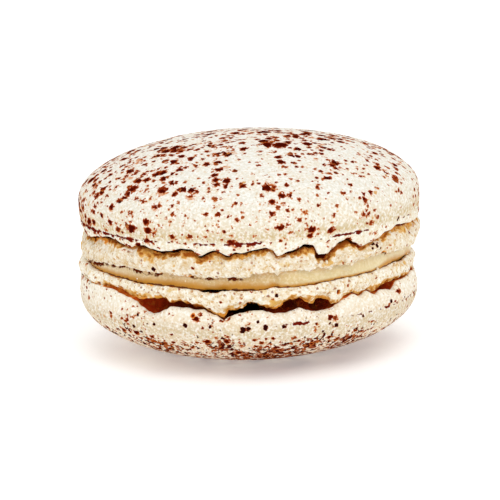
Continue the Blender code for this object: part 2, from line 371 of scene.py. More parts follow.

# Golden patches, partly baked colour and partly painted shade in shallow hollows: degrees, level, half
# width and half height in millimetres, and strength
UPPER_GOLD = [
    (-86, 0.2, 0.9, 0.8, 0.7),
    (-74, 2.2, 1.1, 0.5, 0.8),
    (-36, 2.0, 1.0, 0.8, 0.6),
    (26, 0.6, 0.8, 0.5, 0.7),
    (43, 1.8, 0.7, 0.5, 0.5),
    (64, 2.6, 1.2, 0.7, 0.8),
    (74, 2.5, 1.6, 0.8, 0.8),
]
LOWER_GOLD = [
    (-58, 0.5, 1.1, 0.5, 1),
    (-45, 1.0, 1.6, 0.5, 0.8),
    (-39, 1.0, 1.0, 0.4, 0.6),
    (-20, 2.9, 0.6, 0.6, 0.6),
    (-7, 2.0, 0.8, 0.5, 0.9),
    (9, 1.5, 1.5, 0.7, 0.7),
    (14, 0.7, 0.8, 0.5, 0.4),
    (49, 2.1, 0.7, 0.3, 0.8),
    (53, 1.9, 0.6, 0.5, 0.7),
    (66, -0.6, 2.2, 0.5, 0.5),
]

# Dots of cocoa that stand out: degrees, level and radius in millimetres
UPPER_DOTS = [
    (-81, 2.4, 0.5),
    (59, 4.2, 0.25),
    (47.2, 2.3, 0.17),
    (46, 1.9, 0.24),
    (44.6, 1.8, 0.16),
    (47.5, 1.5, 0.2),
    (45.5, 1.3, 0.16),
    (49, 1.1, 0.15),
    (-35, 0.3, 0.3),
    (83, 3.0, 0.25),
]
LOWER_DOTS = [
    (-42.3, 5.05, 0.22),
    (-40, 3.4, 0.18),
    (-33.3, 4.3, 0.2),
    (-21.7, 4.1, 0.27),
    (-13.2, 4.15, 0.2),
    (-2.4, 4.5, 0.36),
    (-0.7, 4.35, 0.28),
    (2.5, 3.5, 0.18),
    (5, 4.3, 0.32),
    (11, 4.3, 0.26),
    (27, 4.5, 0.15),
    (29.6, 4.85, 0.27),
    (40.6, 4.3, 0.18),
    (55, 3.4, 0.25),
    (9, 0.3, 0.25),
]


@dataclass
class Shell:
    """One half of the macaron. Lengths are in metres, and levels are measured from its face."""

    name: str
    node: str
    up: int
    face_z: float
    shift: float
    tilt: float
    radius: float
    rim_tuck: float
    foot_radius: float
    widest: float
    dome: float
    flat_cut: float
    crevice: list
    lip: list
    join: list
    char: list
    dashes: list
    holes: list
    gold: list
    dots: list
    rim_line: float
    seed: int


def eased(share):
    """Runs smoothly from 0 to 1 as share does. Takes numbers and arrays."""
    share = np.clip(share, 0, 1)
    return share * share * (3 - 2 * share)


def over(values, ends):
    """Runs smoothly from 0 to 1 as the values go from one end to the other."""
    return eased((values - ends[0]) / (ends[1] - ends[0]))


def waves(places, size, seed):
    """Smooth noise between about -1 and 1 at each place, whose bumps are about `size` across."""
    scaled = places.reshape(-1, 3) / size + np.array((seed, 2.7 * seed, -1.3 * seed))
    return np.array([noise.noise(place) for place in scaled.tolist()]).reshape(places.shape[:-1])


def ring(angles, radius, height=0.0):
    """Points at these angles round +Z. The three arguments may be arrays of one shape."""
    angles, radius, height = np.broadcast_arrays(angles, radius, height)
    return np.stack((radius * np.sin(angles), -radius * np.cos(angles), height), axis=-1)


def between(knots, angles):
    """The values at each angle, eased from knot to knot round the circle, one column for each value."""
    table = np.array([*knots, (knots[0][0] + 360, *knots[0][1:])], float)
    degrees = table[0, 0] + (np.degrees(angles) - table[0, 0]) % 360
    after = np.clip(np.searchsorted(table[:, 0], degrees), 1, len(table) - 1)
    low, high = table[after - 1], table[after]
    share = eased((degrees - low[:, 0]) / (high[:, 0] - low[:, 0]))[:, None]
    return (low[:, 1:] + (high[:, 1:] - low[:, 1:]) * share).T


def with_back(front, floor, roof, seed):
    """The front knots of a crevice, then pits and narrow stretches in turn round the back."""
    draw = random.Random(seed)
    knots = list(front)
    degrees = front[-1][0] + draw.uniform(*FIRST_GAP)
    is_pit = True
    while degrees < front[0][0] + 360 - LAST_GAP:
        level = draw.uniform(*PIT_LEVEL)
        spread = draw.uniform(*PIT_SPREAD) if is_pit else 0
        depth = draw.uniform(*(PIT_DEPTH if is_pit else NARROW_DEPTH))
        toast_and_shade = draw.uniform(*PIT_TOAST_AND_SHADE) if is_pit else NARROW_TOAST_AND_SHADE
        knots.append((degrees, floor + level - spread, roof + level + spread, depth, toast_and_shade))
        degrees += draw.uniform(*GAP)
        is_pit = not is_pit
    return knots


class Rows(NamedTuple):
    """The first rows of a shell's crevice, foot and lips, counted from the tip of its dome."""

    crevice: int
    foot: int
    lips: int


def dome_rows(shell, angles, radius):
    """Radius and level of the dome's rows, from the tip down to just above the widest level."""
    tip = shell.dome - shell.flat_cut
    steepest = math.asin(tip / shell.dome)
    slopes = steepest * (1 - np.arange(DOME_ROWS) / DOME_ROWS)
    r = radius[:, None] * np.cos(slopes)
    z = np.broadcast_to(shell.widest + shell.dome * np.sin(slopes), r.shape)
    share = slopes / steepest
    fade = eased(share * UNEVEN_FADE) * eased((1 - share) * UNEVEN_FADE if shell.flat_cut else 1)
    uneven = waves(ring(angles[:, None], r), DOME_UNEVEN_SIZE, shell.seed)
    return r, z + DOME_UNEVEN * fade * uneven


def rim_rows(shell, radius, roof, tuck):
    """From the widest level down to the rim, where the skin tucks under."""
    turn = math.radians(90) * np.linspace(0, 1, RIM_ROWS + 1)
    r = radius[:, None] - tuck[:, None] * (1 - np.cos(turn))
    return r, shell.widest + (roof - shell.widest)[:, None] * np.sin(turn)


def crevice_points(rim_radius, foot_radius, floor, roof, depth, inset):
    """The bends of the crevice, from behind the rim to its back, and out over the foot."""
    inner = foot_radius - depth
    middle = (floor + roof) / 2
    opening = roof - floor
    mouth = foot_radius - inset
    return [
        ((inner + rim_radius) / 2, roof + UNDERCUT * opening),
        (inner, middle + BACK_SHARE * opening),
        (inner - CREVICE_BACK, middle),
        (inner, middle - BACK_SHARE * opening),
        ((inner + mouth) / 2, floor + MOUTH_SHARE * opening),
    ]


def rounded(points, rows):
    """Rows along a smooth curve through the points, one curve for each angle, without its two ends."""
    points = np.array(points)
    before = np.concatenate((2 * points[:1] - points[1:2], points[:-2]))
    ahead = np.concatenate((points[2:], 2 * points[-1:] - points[-2:-1]))
    made = []
    for place in np.linspace(0, len(points) - 1, rows + 2)[1:-1]:
        i = int(place)
        t = place - i
        p0, p1, p2, p3 = before[i], points[i], points[i + 1], ahead[i]
        made.append(
            0.5
            * (
                2 * p1
                + (p2 - p0) * t
                + (2 * p0 - 5 * p1 + 4 * p2 - p3) * t**2
                + (3 * p1 - p0 - 3 * p2 + p3) * t**3
            )
        )
    made = np.array(made)
    return made[:, 0].T, made[:, 1].T


def foot_rows(shell, angles, foot_radius, floor, lip, swell, top_inset):
    """The swollen, lumpy outside of the foot, from the crevice down to the lip."""
    share = np.linspace(0, 1, FOOT_ROWS)
    z = floor[:, None] + (lip - floor)[:, None] * share
    inset = top_inset[:, None] * (1 - share) ** 3 + LIP_INSET * share**3
    outside = ring(angles[:, None], foot_radius[:, None], z)
    lumps = FOOT_LUMPS * waves(outside, LUMP_SIZE, shell.seed + LUMP_NOISE)
    bulge = FOOT_SWELL * np.sin(math.pi * share) + swell[:, None] * share
    r = foot_radius[:, None] - inset + bulge + lumps
    return np.maximum(r, LIP_INNER_RADIUS + LEAST_LIP), z


def lip_level(shell, angles, drop):
    """Level of the ragged lip, which hangs past the face by `drop`."""
    edge = ring(angles, shell.radius)
    return LIP_RAGGED * waves(edge, LIP_RAGGED_SIZE, shell.seed + LIP_NOISE) - drop


def crevice_edges(shell, angles):
    """Levels of the crevice's two ragged edges, its depth, and how far its browning and painted shade
    reach.
    """
    floor, roof, depth, toast_and_shade = between(shell.crevice, angles) * MM
    edge = ring(angles, shell.radius)
    floor = floor + EDGE_RAGGED * waves(edge, EDGE_RAGGED_SIZE, shell.seed + FLOOR_NOISE)
    roof = roof + EDGE_RAGGED * waves(edge, EDGE_RAGGED_SIZE, shell.seed + ROOF_NOISE)
    return floor, np.maximum(roof, floor + LEAST_OPENING), depth, toast_and_shade


def sections(shell, angles):
    """Radius and level of every row at every angle, where its parts start, and its edges."""
    floor, roof, depth, toast_and_shade = crevice_edges(shell, angles)
    drop, swell = between(shell.lip, angles) * MM
    lip = lip_level(shell, angles, drop)
    edge = ring(angles, shell.radius)
    drift = OUT_OF_ROUND * waves(edge, OUT_OF_ROUND_SIZE, shell.seed + DRIFT_NOISE)
    join = between(shell.join, angles)[0]
    free = 1 - JOIN_FLATTENS * join
    tuck = shell.rim_tuck * free
    top_inset = FOOT_TOP_INSET * free
    radius = shell.radius + drift
    rim_radius = radius - tuck
    foot_radius = shell.foot_radius + drift
    foot_radius = foot_radius + (rim_radius - foot_radius) * join

    dome = dome_rows(shell, angles, radius)
    rim = rim_rows(shell, radius, roof, tuck)
    foot = foot_rows(shell, angles, foot_radius, floor, lip, swell, top_inset)
    bends = crevice_points(rim_radius, foot_radius, floor, roof, depth, top_inset)
    first, last = (rim_radius, roof), (foot[0][:, 0], foot[1][:, 0])
    crevice = rounded([first, *bends, last], CREVICE_ROWS)
    flat = np.zeros_like(lip)
    lips = (np.stack((flat + LIP_INNER_RADIUS, flat + FACE_RADIUS), 1), np.stack((lip, flat), 1))

    parts = [dome, rim, crevice, foot, lips]
    r = np.concatenate([part[0] for part in parts], axis=1)
    z = np.concatenate([part[1] for part in parts], axis=1)
    ends = np.cumsum([part[0].shape[1] for part in parts])
    return r, z, Rows(*ends[1:4]), (floor, depth, toast_and_shade, foot_radius, rim_radius)


def away_from(shell, angles, z, degrees, level, width, height):
    """Distance from a place on a shell's side, in widths and heights."""
    turn = (angles - math.radians(degrees) + math.pi) % math.tau - math.pi
    return np.hypot(turn[:, None] * shell.radius / (width * MM), (z - level * MM) / (height * MM))


def spots(shell, angles, z, table):
    """Soft patches that fade out from (degrees, level, half width, half height, strength)."""
    made = np.zeros_like(z)
    for *place, strength in table:
        made = np.maximum(made, strength * eased(SPOT_EDGE - away_from(shell, angles, z, *place)))
    return made


def dots(shell, angles, z, table):
    """Round dots from (degrees, level, radius): 1 in the middle, a half at the radius, 0 at twice it."""
    made = np.zeros_like(z)
    for degrees, level, radius in table:
        away = away_from(shell, angles, z, degrees, level, radius, radius)
        made = np.maximum(made, np.clip(1 - away / 2, 0, 1))
    return made


def masks(shell, angles, r, z, rows, edges):
    """What each point is: skin or foot, how much painted shade it gets deep in a hollow, how far it is
    painted black shadow, and how browned and shaded.
    """
    floor, depth, toast_and_shade, foot_radius, rim_radius = (edge[:, None] for edge in edges)
    row = np.arange(r.shape[1])[None, :]
    on_foot = row >= rows.crevice + CREVICE_ROWS // 2
    rim_side = (row >= rows.crevice) & ~on_foot
    # Painted shade: the deeper the crevice, the darker behind the rim and behind the foot. The face under
    # the lips is painted full shade and black shadow.
    dark = np.clip(LEAST_DARK + depth / DARK_DEPTH, 0, 1)
    behind_rim = eased((rim_radius - r) / RIM_SHADE) * dark
    behind_foot = eased((foot_radius - r - HOLLOW_FROM) / HOLLOW_OVER) * dark
    hollow_shade = np.where(on_foot, behind_foot, np.where(rim_side, behind_rim, 0))
    hollow_shade = np.where(row > rows.lips, 1, hollow_shade)
    char = between(shell.char, angles)[0][:, None]
    # Browning below the crevice, which also paints shade under the rim, strongest where the crevice is
    # painted black.
    toasted_and_shaded = TOAST_WITHOUT_BLACK_SHADE + (1 - TOAST_WITHOUT_BLACK_SHADE) * np.minimum(BLACK_SHADE_TOASTS * char, 1)
    brown = eased(TOAST_AND_SHADE_EDGE - (floor - z) / (TOAST_AND_SHADE_REACH * toast_and_shade + LEAST_REACH)) * toasted_and_shaded
    return {
        "level": z / MM,
        "foot": np.where(on_foot, 1.0, 0.0) + 0 * r,
        "hollow_shade": hollow_shade,
        "toast_and_shade": np.where(on_foot & (row < rows.lips), brown, 0) * eased(depth / TOAST_AND_SHADE_DEPTH),
        "char": np.where(row > rows.lips, 1, char),
        "dashes": np.broadcast_to(between(shell.dashes, angles)[0][:, None], r.shape),
        "gold": spots(shell, angles, z, shell.gold) * np.where(on_foot, 1, GOLD_ON_SKIN),
        "dot": dots(shell, angles, z, shell.dots),
    }


def normals_of(points):
    """The unit normals of a grid of points that is closed along its first axis."""
    along = np.roll(points, -1, 0) - np.roll(points, 1, 0)
    down = np.gradient(points, axis=1)
    normal = np.cross(down, along)
    return normal / np.maximum(np.linalg.norm(normal, axis=2, keepdims=True), 1e-12)


def billows(places, size, seed):
    """Rounded lumps with creases between them, from 0 in a crease to about 1."""
    return np.minimum(np.abs(waves(places, size, seed)) * BILLOW_GAIN, 1)


def relief(shell, angles, points, z, rows, marks):
    """How far each point is pushed out: smooth skin, crumbly foot, the incised line and the holes. It also
    sets the marks of painted shade in the foot's creases and in the holes.
    """
    row = np.arange(z.shape[1])[None, :]
    on_skin = row < rows.crevice - 1
    free = 1 - JOIN_SMOOTHS * between(shell.join, angles)[0][:, None]
    rough = eased((row - rows.crevice) / FOOT_FADE_ROWS) * (row < rows.lips) * free
    height = np.where(on_skin, eased(row / TIP_FADE_ROWS), 0) * (
        SKIN_WAVES[0] * waves(points, SKIN_WAVES[1], shell.seed + WAVE_NOISE)
        + SKIN_GRAIN[0] * waves(points, SKIN_GRAIN[1], shell.seed + GRAIN_NOISE)
    )
    lumps = billows(points, FOOT_BILLOWS[1], shell.seed + BILLOW_NOISE)
    crumbs = billows(points, FOOT_CRUMBS[1], shell.seed + CRUMB_NOISE)
    height += rough * (
        FOOT_BILLOWS[0] * (lumps - BILLOW_MEAN)
        + FOOT_CRUMBS[0] * (crumbs - BILLOW_MEAN)
        + FOOT_GRIT[0] * waves(points, FOOT_GRIT[1], shell.seed + GRIT_NOISE)
    )
    # Painted shade in the creases between the foot's lumps and crumbs
    crease_shades = [1 - eased(bumps / CREASE_SHADE_HEIGHT) for bumps in (lumps, crumbs)]
    marks["crease_shade"] = rough * (LUMP_CREASE_SHADE * crease_shades[0] + CRUMB_CREASE_SHADE * crease_shades[1])
    off_line = z - shell.rim_line
    groove = np.exp(-((off_line / RIM_LINE_WIDTH) ** 2))
    bead = np.exp(-(((off_line + RIM_BEAD_BELOW_LINE) / RIM_BEAD_WIDTH) ** 2))
    height += on_skin * (RIM_BEAD * bead - RIM_LINE_DEPTH * groove)
    outside = (row < rows.crevice) | (row >= rows.foot)
    # Each hole is dented, and painted shade darkens it.
    for degrees, level, size, depth in shell.holes:
        dent = eased(HOLE_EDGE - away_from(shell, angles, z, degrees, level, size, size)) * outside
        height -= depth * MM * dent
        marks["hollow_shade"] = np.maximum(marks["hollow_shade"], dent * HOLE_SHADE)
    return height


def placed(shell, points):
    """Shell points in the row frame: turned over if it is the lower one, tilted and set in place."""
    x, y, z = points[..., 0], points[..., 1], points[..., 2] * shell.up
    cos, sin = math.cos(shell.tilt), math.sin(shell.tilt)
    return np.stack((x * cos - z * sin + shell.shift, y, x * sin + z * cos + shell.face_z), axis=-1)


def grid_mesh(name, points, tip, end, marks, flip):
    """A closed mesh from a grid of rings, with a point at each end. Marks become vertex attributes."""
    steps, rows = points.shape[:2]
    index = np.arange(steps * rows).reshape(steps, rows)
    after = np.roll(index, -1, 0)
    quads = np.stack((index[:, :-1], index[:, 1:], after[:, 1:], after[:, :-1]), axis=-1).reshape(-1, 4)
    first, last = steps * rows, steps * rows + 1
    caps = [(first, int(a), int(b)) for a, b in zip(index[:, 0], after[:, 0])]
    caps += [(last, int(b), int(a)) for a, b in zip(index[:, -1], after[:, -1])]
    faces = quads.tolist() + caps
    if flip:
        faces = [face[::-1] for face in faces]
    mesh = bpy.data.meshes.new(name)
    mesh.from_pydata([*points.reshape(-1, 3).tolist(), list(tip), list(end)], [], faces)
    for mark, values in marks.items():
        flat = np.concatenate((values.reshape(-1), [values[:, 0].mean(), values[:, -1].mean()]))
        attribute = mesh.attributes.new(mark, "FLOAT", "POINT")
        attribute.data.foreach_set("value", flat.astype(np.float32))
    mesh.shade_smooth()
    mesh.update()
    return mesh


def dust_on_upper(angles, r, z):
    """Cocoa on the upper dome: densest across its top and at the left, sparse at the right front."""
    right = r * np.sin(angles)[:, None] / DUST_RADIUS
    front = np.abs(r * np.cos(angles)[:, None] / DUST_RADIUS + DUST_MIDDLE)
    low = DUST_WHEN_LOW * over(z, LOW_LEVELS) * (1 + right)
    high = DUST_WHEN_HIGH * over(z, HIGH_LEVELS)
    dust = UPPER_DUST - DUST_TO_RIGHT * right - DUST_TO_FRONT * front - low - high
    return np.clip(dust, *UPPER_DUST_RANGE)


def dust_on_lower(angles, r, z):
    """Cocoa on the lower dome: hardly any by the crevice, dense towards the bottom."""
    lean = LOWER_DUST_LEAN * np.cos(angles - LOWER_DUST_LEANS_TO)[:, None]
    dust = LOWER_DUST + over(z, LOWER_DUST_LEVELS) * (LOWER_DUST_BELOW + lean)
    return np.clip(dust, *LOWER_DUST_RANGE)


def add_piece(name, mesh, finish):
    """A new object with this mesh and finish, in the scene."""
    mesh.materials.append(finish)
    piece = bpy.data.objects.new(name, mesh)
    bpy.context.scene.collection.objects.link(piece)
    return piece


def build_shell(shell, dust, finish):
    """One meringue shell as a fine mesh in place of its solid, and what the crumbs need to know of it."""
    angles = math.tau * np.arange(STEPS) / STEPS
    r, z, rows, edges = sections(shell, angles)
    marks = masks(shell, angles, r, z, rows, edges)
    marks["dust"] = dust(angles, r, z)
    points = ring(angles[:, None], r, z)
    normals = normals_of(points)
    points = points + normals * relief(shell, angles, points, z, rows, marks)[..., None]
    # The first ring of a dome without a flat spot is all in one place, so the tip stands for it.
    first = 0 if shell.flat_cut else 1
    marks = {mark: values[:, first:] for mark, values in marks.items()}
    tip = placed(shell, np.array((0, 0, shell.widest + shell.dome - shell.flat_cut)))
    end = placed(shell, np.array((0, 0, 0.0)))
    mesh = grid_mesh(shell.name, placed(shell, points[:, first:]), tip, end, marks, flip=shell.up < 0)
    piece = add_piece(shell.name, mesh, finish)
    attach(piece, "root")
    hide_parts(shell.node)
    return shell, points, normals, rows


# The cream between the shells: how it bulges, its seam, the gap above the lower lip, and tables of
# degrees and millimetres or shares round it
CREAM_RADIUS = 20.95 * MM
CREAM_WAVE = 0.08 * MM
CREAM_WAVE_SIZE = 5 * MM
CREAM_RIPPLE = 0.03 * MM
CREAM_RIPPLE_SIZE = 1.6 * MM
CREAM_BULGE = 0.13 * MM
CREAM_OVERLAP = 0.2 * MM
CREAM_ROWS = 20
WAVE_SEED = 41
RIPPLE_SEED = 44
GAP_LIFT = 1.5
GAP_FROM = 0.6
SEAM_DEGREES = 9.2
SEAM_WIDTH = 0.22 * MM
SEAM_DEPTH = 0.16 * MM
GAP_KNOTS = [
    (-60, 0), (-19, 0), (-15, 0.22), (-9, 0.2), (-6, 0), (56, 0), (62, 0.35), (72, 0.4),
    (80, 0),
]
# How far the painted gold shade reaches up from the lower lip, round the cream
GOLD_SHADE_KNOTS = [
    (-60, 0.35), (-20, 0.6), (-5, 0.7), (6, 0.4), (12, 0.15), (50, 0.1), (58, 0.5), (74, 0.5),
    (82, 0.2),
]
CREAM_SWELL = [
    (-105, 0.1), (-84, 0.55), (-72, 0.5), (-58, 0.2), (-40, 0), (60, 0), (80, 0.25), (105, 0.1),
]
# How much of the cream just under the upper lip is painted dark shadow dashes, round the cream
TOP_SHADOW_DASHES = [
    (-120, 0.2), (-70, 0.8), (-45, 0.75), (-36, 0.6), (-28, 0.45), (-14, 0.5), (-3, 0.8),
    (0, 0.1), (35, 0.15), (60, 0.3), (90, 0.3),
]


def lip_height(shell, angles):
    """Height of a shell's lip in the row frame at each angle."""
    drop = between(shell.lip, angles)[0] * MM
    return placed(shell, ring(angles, LIP_INNER_RADIUS, lip_level(shell, angles, drop)))[..., 2]


def cream_points(angles):
    """The side of the cream, from its top down: bulged, a little wavy, with one short seam."""
    share = np.linspace(0, 1, CREAM_ROWS)
    top = UPPER_FACE_Z + CREAM_RADIUS * np.sin(angles) * math.tan(UPPER_TILT) + CREAM_OVERLAP
    gap = between(GAP_KNOTS, angles)[0] * MM
    low = LOWER_FACE_Z + gap * GAP_LIFT
    z = top[:, None] + (low - top)[:, None] * share
    r = CREAM_RADIUS + CREAM_WAVE * waves(ring(angles, CREAM_RADIUS), CREAM_WAVE_SIZE, WAVE_SEED)[:, None]
    swell = CREAM_BULGE + between(CREAM_SWELL, angles)[0] * MM
    r = r + swell[:, None] * np.sin(math.pi * share) ** 0.5
    r = r + CREAM_RIPPLE * waves(ring(angles[:, None], r, z * 2), CREAM_RIPPLE_SIZE, RIPPLE_SEED)
    from_seam = (angles - math.radians(SEAM_DEGREES)) * CREAM_RADIUS
    r = r - SEAM_DEPTH * np.exp(-((from_seam / SEAM_WIDTH) ** 2))[:, None]
    return ring(angles[:, None], r - gap[:, None] * over(share, (GAP_FROM, 1)), z)


def build_cream(upper, lower, finish):
    """The layer of cream, which touches both shells."""
    angles = math.tau * np.arange(STEPS) / STEPS
    points = cream_points(angles)
    z = points[..., 2]
    marks = {
        "below": (lip_height(upper, angles)[:, None] - z) / MM,
        "above": (z - lip_height(lower, angles)[:, None]) / MM,
        "gold_and_shade": np.broadcast_to(between(GOLD_SHADE_KNOTS, angles)[0][:, None], z.shape),
        "dashes": np.broadcast_to(between(TOP_SHADOW_DASHES, angles)[0][:, None], z.shape),
    }
    mesh = grid_mesh("cream", points, (0, 0, UPPER_FACE_Z), (0, 0, LOWER_FACE_Z), marks, flip=False)
    piece = add_piece("cream", mesh, finish)
    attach(piece, "root")
    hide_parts("filling")


def linear(red, green, blue):
    """A colour given as screen values from 0 to 255, as Blender's linear colour."""
    parts = [value / 255 for value in (red, green, blue)]
    return (*(p / 12.92 if p <= 0.04045 else ((p + 0.055) / 1.055) ** 2.4 for p in parts), 1)


# Cocoa, from the edge of a speck to its middle, and elsewhere
COCOA_STOPS = [(0, (204, 126, 60)), (0.3, (156, 66, 24)), (0.65, (112, 28, 6)), (1, (70, 10, 2))]
COCOA_TAIL = linear(206, 128, 66)
COCOA_PALE = linear(178, 96, 46)
COCOA_LINE = linear(104, 22, 8)
DOT_EDGE = linear(140, 58, 24)
DOT_CORE = linear(40, 10, 8)

# Browning with painted shade, from faint to strong; the caramel darkens with a crevice's depth as painted
# shade, and the black is painted shadow
TOAST_AND_SHADE_STOPS = [(0, (236, 212, 152)), (0.4, (218, 162, 80)), (1, (150, 76, 22))]
CARAMEL_AND_SHADE_STOPS = [(0, (232, 184, 96)), (0.2, (222, 150, 60)), (0.5, (210, 112, 38)), (1, (176, 56, 18))]
SHADOW_BLACK = linear(24, 6, 4)

# Skin
SKIN_CLOUDS = linear(226, 204, 164)
SKIN_GRAIN_WHITE = linear(253, 253, 250)
SKIN_PITS = linear(222, 194, 152)
SKIN_DOTS = linear(200, 158, 106)

# Foot, with painted shade for its creases
FOOT_PITS = linear(202, 164, 100)
FOOT_CREASE_SHADE = linear(212, 172, 108)
FOOT_DOT_STOPS = [(0, (216, 168, 92)), (0.55, (184, 116, 52)), (1, (120, 50, 22))]
FOOT_GOLD = linear(214, 162, 62)
FOOT_BUTTER = linear(224, 188, 112)

# Cream, from its left end to its right, darker at the left as painted shading, and elsewhere
CREAM_SHADED_STOPS = [
    (0, (212, 190, 152)),
    (0.3, (204, 174, 126)),
    (0.5, (202, 168, 112)),
    (0.68, (218, 198, 148)),
    (1, (224, 208, 164)),
]
CREAM_CLOUDS = linear(198, 164, 108)
CREAM_GRAIN = linear(238, 226, 194)
CREAM_GOLD_SHADE = linear(190, 132, 40)
CREAM_LOW_SHADOW = linear(92, 40, 10)
CREAM_LIP_SHADOW = linear(88, 30, 8)
CREAM_GLINT = linear(250, 244, 226)

# Crumbs and floor
CRUMB_PALE = linear(240, 230, 208)
CRUMB_TAN = linear(216, 184, 136)
FLOOR_WHITE = linear(245, 245, 245)


# The middle part of a noise node's values, which holds nearly all of them
NOISE_RANGE = (0.3, 0.7)


class Nodes:
    """Adds shader nodes to one new material and joins them. Places and sizes are in millimetres."""

    def __init__(self, name):
        self.material = bpy.data.materials.new(name)
        self.material.use_nodes = True
        self.tree = self.material.node_tree
        self.shader = self.tree.nodes["Principled BSDF"]
        coordinates = self.tree.nodes.new("ShaderNodeTexCoord")
        self.place = self.scaled(coordinates.outputs["Object"], (1 / MM, 1 / MM, 1 / MM))

    def join(self, value, socket):
        if isinstance(value, bpy.types.NodeSocket):
            self.tree.links.new(value, socket)
        else:
            socket.default_value = value

    def joined(self, kind, operation, values):
        node = self.tree.nodes.new(kind)
        node.operation = operation
        for value, socket in zip(values, node.inputs):
            self.join(value, socket)
        return node.outputs[0]

    def math(self, operation, *values):
        return self.joined("ShaderNodeMath", operation, values)

    def vector(self, operation, *values):
        return self.joined("ShaderNodeVectorMath", operation, values)

    def scaled(self, place, by):
        return self.vector("MULTIPLY", place, by)

    def moved(self, place, by):
        return self.vector("ADD", place, by)

    def product(self, *values):
        made = values[0]
        for value in values[1:]:
            made = self.math("MULTIPLY", made, value)
        return made

    def step(self, value, low, high, start=0.0, end=1.0, kind="SMOOTHSTEP"):
        """Runs smoothly from start to end as value goes from low to high."""
        node = self.tree.nodes.new("ShaderNodeMapRange")
        node.interpolation_type = kind
        sockets = ("Value", "From Min", "From Max", "To Min", "To Max")
        for name, given in zip(sockets, (value, low, high, start, end)):
            self.join(given, node.inputs[name])
        return node.outputs[0]

    def mark(self, name):
        """A vertex attribute of the mesh."""
        node = self.tree.nodes.new("ShaderNodeAttribute")
        node.attribute_name = name
        return node.outputs["Fac"]

    def noise(self, size, detail=2.0, place=None, colour=False):
        node = self.tree.nodes.new("ShaderNodeTexNoise")
        self.join(self.place if place is None else place, node.inputs["Vector"])
        node.inputs["Scale"].default_value = 1 / size
        node.inputs["Detail"].default_value = detail
        return node.outputs["Color" if colour else "Fac"]

    def wander(self, size, detail, low, high):
        """Noise that takes up the whole range from low to high."""
        return self.step(self.noise(size, detail), *NOISE_RANGE, low, high)

    def shifted(self, place, by, size, amount):
        """Place pushed about by noise, for ragged outlines. `by` moves the noise itself."""
        offset = self.moved(place, (by, by, by))
        push = self.noise(size, 2.0, offset, colour=True)
        return self.vector("MULTIPLY_ADD", push, (amount, amount, amount), offset)

    def cells(self, place, size):
        """Distance from the middle of the nearest cell, in millimetres, and three random numbers."""
        node = self.tree.nodes.new("ShaderNodeTexVoronoi")
        self.join(place, node.inputs["Vector"])
        node.inputs["Scale"].default_value = 1 / size
        split = self.tree.nodes.new("ShaderNodeSeparateColor")
        self.join(node.outputs["Color"], split.inputs[0])
        return self.product(node.outputs["Distance"], size), split.outputs

    def mix(self, share, a, b):
        node = self.tree.nodes.new("ShaderNodeMix")
        node.data_type = "RGBA"
        for name, given in zip(("Factor", "A", "B"), (share, a, b)):
            kind = "VALUE" if name == "Factor" else "RGBA"
            self.join(given, next(s for s in node.inputs if s.name == name and s.type == kind))
        return next(s for s in node.outputs if s.type == "RGBA")

    def ramp(self, value, stops):
        """A colour that runs through (position, screen colour) stops, where positions go from 0 to 1."""
        node = self.tree.nodes.new("ShaderNodeValToRGB")
        self.join(value, node.inputs[0])
        elements = node.color_ramp.elements
        for element, (position, colour) in zip(elements, (stops[0], stops[-1])):
            element.position = position
            element.color = linear(*colour)
        for position, colour in stops[1:-1]:
            elements.new(position).color = linear(*colour)
        return node.outputs[0]

    def bump(self, height):
        """Relief of this height in millimetres, straight into the shader."""
        node = self.tree.nodes.new("ShaderNodeBump")
        node.inputs["Strength"].default_value = 1
        node.inputs["Distance"].default_value = MM
        self.join(height, node.inputs["Height"])
        self.join(node.outputs[0], self.shader.inputs["Normal"])

    def finish(self, colour, roughness, bump):
        """Joins colour, roughness and relief to the shader."""
        self.join(colour, self.shader.inputs["Base Color"])
        self.join(roughness, self.shader.inputs["Roughness"])
        self.bump(bump)


# Specks: their stretch, how ragged they are in cell sizes, and how their radii are spread
SPECK_STRETCH = (1, 0.75, 1.25)
RAGGED_SIZE = 0.45
RAGGED_PUSH = 0.6
RADIUS_POWER = 1.2
CRUMBLE_SIZE = 0.3
FRAY = 0.35
LEAST_FRAY = 0.02
GROWS_OVER = 0.1
TAIL_CHANCE = (0.45, 0.6)
TAIL_SHARE = 0.75
PALE_CHANCE = (0.6, 0.95)
PALE_RADII = (0.5, 0.25)
PALE_SHARE = 0.7


@dataclass
class Layer:
    """Cocoa specks of one kind, one or none in each cell. Lengths are in millimetres.

    Of the cells, the dust's amount times `share`, plus `start`, hold a speck. Its radius runs from
    `least` to `most`, and its edge fades over `soft`.
    """

    cell: float
    least: float
    most: float
    share: float
    start: float
    soft: float
    seed: float


def speck_field(nodes, place, layer, presence, wider):
    """How far inside a speck a place is, whether one is there, its radius and a random number."""
    ragged = nodes.shifted(place, layer.seed, RAGGED_SIZE * layer.cell, RAGGED_PUSH * layer.cell)
    away, chance = nodes.cells(ragged, layer.cell)
    grown = nodes.step(nodes.math("SUBTRACT", presence, chance[1]), 0, GROWS_OVER)
    spread = nodes.math("POWER", chance[0], RADIUS_POWER)
    radius = nodes.math("MULTIPLY_ADD", spread, layer.most - layer.least, layer.least)
    radius = nodes.product(radius, grown, wider)
    crumble = nodes.wander(CRUMBLE_SIZE, 3, -1, 1)
    frayed = nodes.math("MULTIPLY_ADD", crumble, FRAY * layer.least + LEAST_FRAY, radius)
    inside = nodes.math("SUBTRACT", frayed, away)
    return inside, nodes.step(grown, 0, GROWS_OVER), radius, chance[2]


